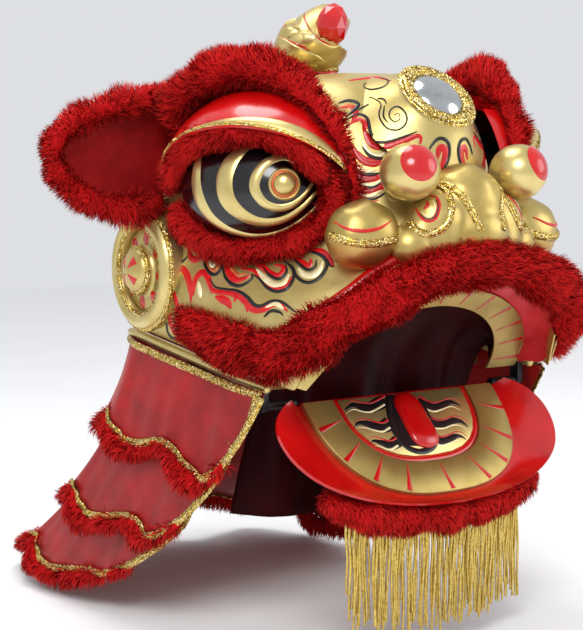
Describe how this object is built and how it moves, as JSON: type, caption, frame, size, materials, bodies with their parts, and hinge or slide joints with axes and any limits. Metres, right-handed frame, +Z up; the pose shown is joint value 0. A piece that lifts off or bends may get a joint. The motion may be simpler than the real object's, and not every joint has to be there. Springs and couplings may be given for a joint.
{
  "type": "lion dance head",
  "caption": "Southern-style lion dance head: hollow gold hood with fur-trimmed eyes, horn, mirror, hinged jaw, fringe and tiered red cape.",
  "frame": {"origin": "middle of the hidden hand bar that carries the head", "axes": "+Z up, -Y the way the lion faces, +X the lion's left"},
  "size_m": [0.8394, 0.862, 0.8501],
  "materials": {
    "gold_shell": "satin gold paint",
    "gold_braid": "glitter braid",
    "red_fur": "deep fur",
    "red_satin": "satin",
    "red_lacquer": "gloss lacquer",
    "black_lacquer": "gloss lacquer",
    "mirror_glass": "polished",
    "dark_cloth": "dull satin",
    "bar_wood": "plain"
  },
  "bodies": {
    "head": {"hood": "gold_shell", "rail_left": "gold_shell", "rail_right": "gold_shell", "mirror_ring": "gold_braid", "mirror": "mirror_glass", "horn_collar": "gold_shell", "horn": "gold_shell", "horn_gem": "red_lacquer", "eyeball_left": "black_lacquer", "eyeball_right": "black_lacquer", "pupil_left": "gold_shell", "pupil_right": "gold_shell", "eye_fur_left": "red_fur", "eye_fur_right": "red_fur", "brow_fur_left": "red_fur", "brow_fur_right": "red_fur", "medallion_ring_left": "gold_shell", "medallion_ring_right": "gold_shell", "medallion_boss_left": "gold_shell", "medallion_boss_right": "gold_shell", "feeler_ball_left": "gold_shell", "feeler_ball_right": "gold_shell", "feeler_spring_left": "gold_shell", "feeler_spring_right": "gold_shell", "nose": "gold_shell", "cheek_drum_left": "gold_shell", "cheek_drum_right": "gold_shell", "lip_fur": "red_fur", "upper_gum": "gold_shell", "lip_lining": "red_satin", "jaw_hinge_left": "bar_wood", "jaw_hinge_right": "bar_wood", "mouth_cloth": "dark_cloth", "cape_tier_1": "red_satin", "cape_fur_1": "red_fur", "cape_tier_2": "red_satin", "cape_fur_2": "red_fur", "cape_tier_3": "red_satin", "cape_fur_3": "red_fur", "hand_bar": "bar_wood"},
    "jaw": {"jaw": "red_lacquer", "jaw_gum": "gold_shell", "jaw_panel": "gold_shell", "tongue": "red_lacquer", "jaw_fur": "red_fur", "fringe": "gold_braid"},
    "lid_left": {"eyelid_left": "red_lacquer", "eyelid_fur_left": "red_fur"},
    "lid_right": {"eyelid_right": "red_lacquer", "eyelid_fur_right": "red_fur"},
    "ear_left": {"ear_left": "red_satin", "ear_fur_left": "red_fur"},
    "ear_right": {"ear_right": "red_satin", "ear_fur_right": "red_fur"}
  },
  "joints": [
    {"name": "jaw_hinge", "type": "hinge", "parent": "head", "child": "jaw", "pos_m": [0, -0.11, -0.028], "axis": [-1, 0, 0], "range_deg": [0, 35]},
    {"name": "lid_left_hinge", "type": "hinge", "parent": "head", "child": "lid_left", "pos_m": [0.195, -0.05, 0.246], "axis": [0.4311, 0.9023, 0], "range_deg": [0, 30], "stiffness_Nm_per_rad": 0.25, "springref_deg": -34.38},
    {"name": "lid_right_hinge", "type": "hinge", "parent": "head", "child": "lid_right", "pos_m": [-0.195, -0.05, 0.246], "axis": [0.4311, -0.9023, 0], "range_deg": [0, 30], "stiffness_Nm_per_rad": 0.25, "springref_deg": -34.38},
    {"name": "ear_left_hinge", "type": "hinge", "parent": "head", "child": "ear_left", "pos_m": [0.236, 0.088, 0.292], "axis": [-0.33, 0, 0.944], "range_deg": [-10, 10], "stiffness_Nm_per_rad": 1.5},
    {"name": "ear_right_hinge", "type": "hinge", "parent": "head", "child": "ear_right", "pos_m": [-0.236, 0.088, 0.292], "axis": [0.33, 0, 0.944], "range_deg": [-10, 10], "stiffness_Nm_per_rad": 1.5}
  ]
}
